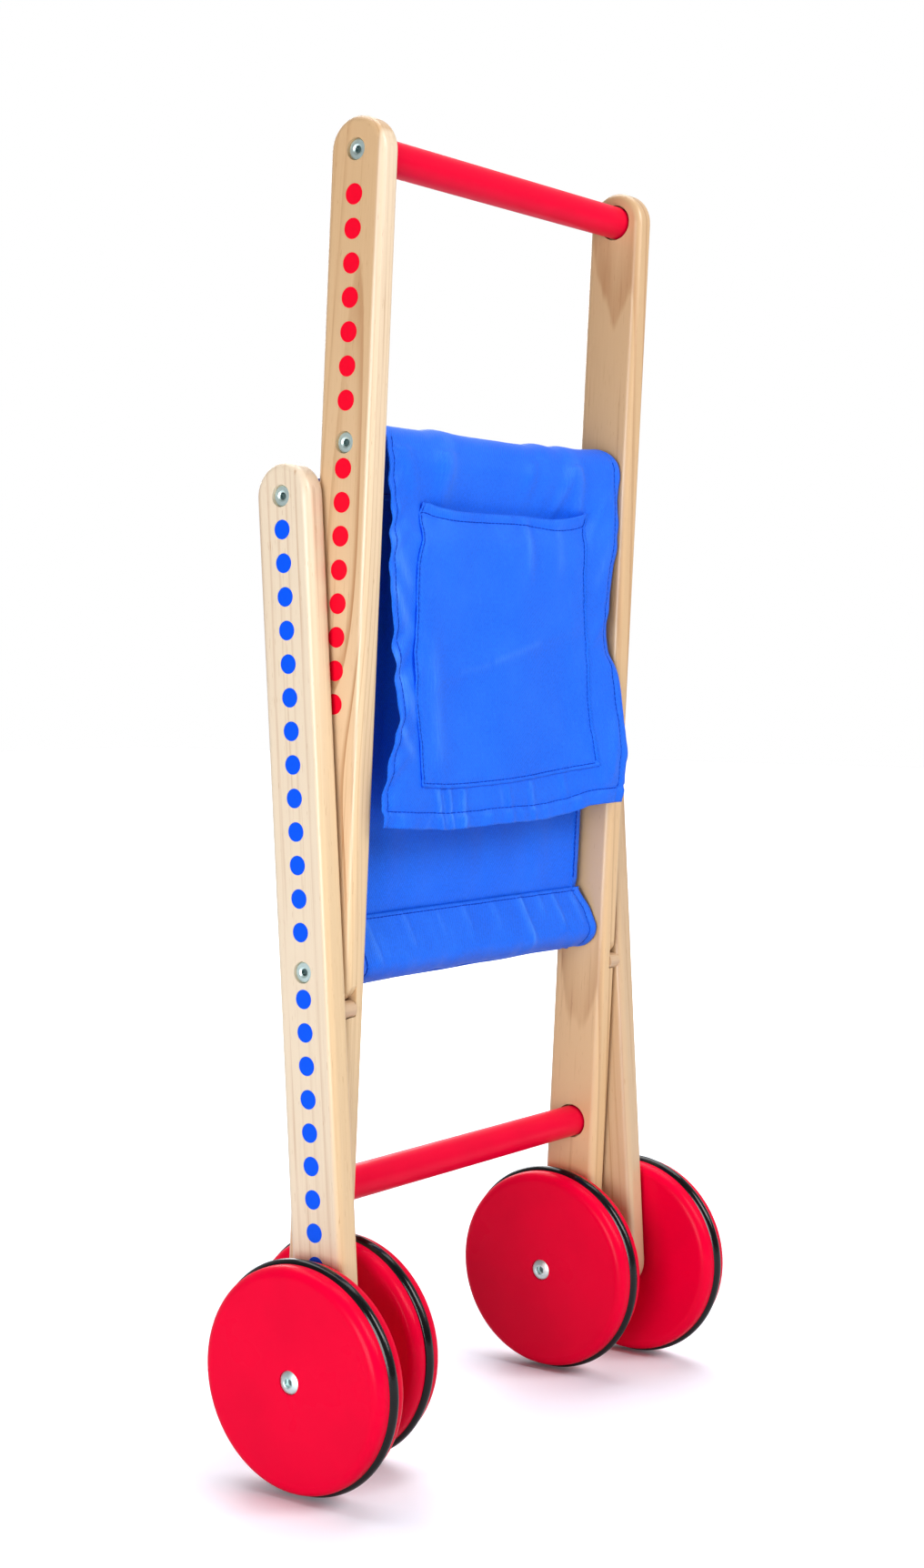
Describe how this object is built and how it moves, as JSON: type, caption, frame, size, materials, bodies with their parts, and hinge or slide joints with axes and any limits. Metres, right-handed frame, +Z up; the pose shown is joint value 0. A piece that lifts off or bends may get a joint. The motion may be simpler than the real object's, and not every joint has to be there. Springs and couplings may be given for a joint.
{
  "type": "folding doll pushchair",
  "caption": "Folding wooden doll's pushchair: crossed rails on a pivot, cloth sling seat with a pocketed flap, red bars, and red wooden wheels with black ring tyres.",
  "frame": {"origin": "on the floor, straight below the pivot of the cross frame, midway between the four wheels", "axes": "+X to the right seen from behind, +Y the way it rolls, +Z up"},
  "size_m": [0.298, 0.1256, 0.6107],
  "materials": {
    "pine": "clear satin lacquer",
    "red_lacquer": "red gloss lacquer on wood",
    "tyre_rubber": "smooth black",
    "zinc": "zinc plated",
    "insert_zinc": "zinc plated",
    "washer_nylon": "plain nylon",
    "blue_cloth": "royal blue polyester twill"
  },
  "bodies": {
    "handle_frame": {"handle_rail_left": "pine", "handle_rail_right": "pine", "handle_bar": "red_lacquer", "lower_bar": "red_lacquer", "backrest_rod": "pine", "pivot_rod": "pine", "handle_bar_inserts": "insert_zinc", "lower_bar_inserts": "insert_zinc", "backrest_rod_inserts": "insert_zinc", "pivot_rod_inserts": "insert_zinc", "handle_bar_bolts": "zinc", "lower_bar_bolts": "zinc", "backrest_rod_bolts": "zinc", "pivot_bolts": "zinc", "pivot_washers": "washer_nylon", "front_axle_inserts": "insert_zinc", "front_axle_washers": "washer_nylon", "front_axle_bolt_left": "zinc", "front_axle_bolt_right": "zinc", "backrest_sling": "blue_cloth", "pocket_flap": "blue_cloth", "flap_pocket": "blue_cloth"},
    "seat_frame": {"seat_rail_left": "pine", "seat_rail_right": "pine", "seat_front_rod": "pine", "seat_front_rod_inserts": "insert_zinc", "seat_front_rod_bolts": "zinc", "stop_dowel_left": "pine", "stop_dowel_right": "pine", "rear_axle_inserts": "insert_zinc", "rear_axle_washers": "washer_nylon", "rear_axle_bolt_left": "zinc", "rear_axle_bolt_right": "zinc", "seat_sling": "blue_cloth"},
    "front_left_wheel": {"front_wheel_left": "red_lacquer", "front_tyre_left": "tyre_rubber"},
    "front_right_wheel": {"front_wheel_right": "red_lacquer", "front_tyre_right": "tyre_rubber"},
    "rear_left_wheel": {"rear_wheel_left": "red_lacquer", "rear_tyre_left": "tyre_rubber"},
    "rear_right_wheel": {"rear_wheel_right": "red_lacquer", "rear_tyre_right": "tyre_rubber"}
  },
  "joints": [
    {"name": "fold", "type": "hinge", "parent": "handle_frame", "child": "seat_frame", "pos_m": [0, 0, 0.23173], "axis": [-1, 0, 0], "range_deg": [0, 78]},
    {"name": "front_left_wheel_spin", "type": "hinge", "parent": "handle_frame", "child": "front_left_wheel", "pos_m": [-0.087, 0.00985, 0.053], "axis": [-1, 0, 0], "continuous": true},
    {"name": "front_right_wheel_spin", "type": "hinge", "parent": "handle_frame", "child": "front_right_wheel", "pos_m": [0.087, 0.00985, 0.053], "axis": [-1, 0, 0], "continuous": true},
    {"name": "rear_left_wheel_spin", "type": "hinge", "parent": "seat_frame", "child": "rear_left_wheel", "pos_m": [-0.1385, -0.00985, 0.053], "axis": [-1, 0, 0], "continuous": true},
    {"name": "rear_right_wheel_spin", "type": "hinge", "parent": "seat_frame", "child": "rear_right_wheel", "pos_m": [0.1385, -0.00985, 0.053], "axis": [-1, 0, 0], "continuous": true}
  ]
}
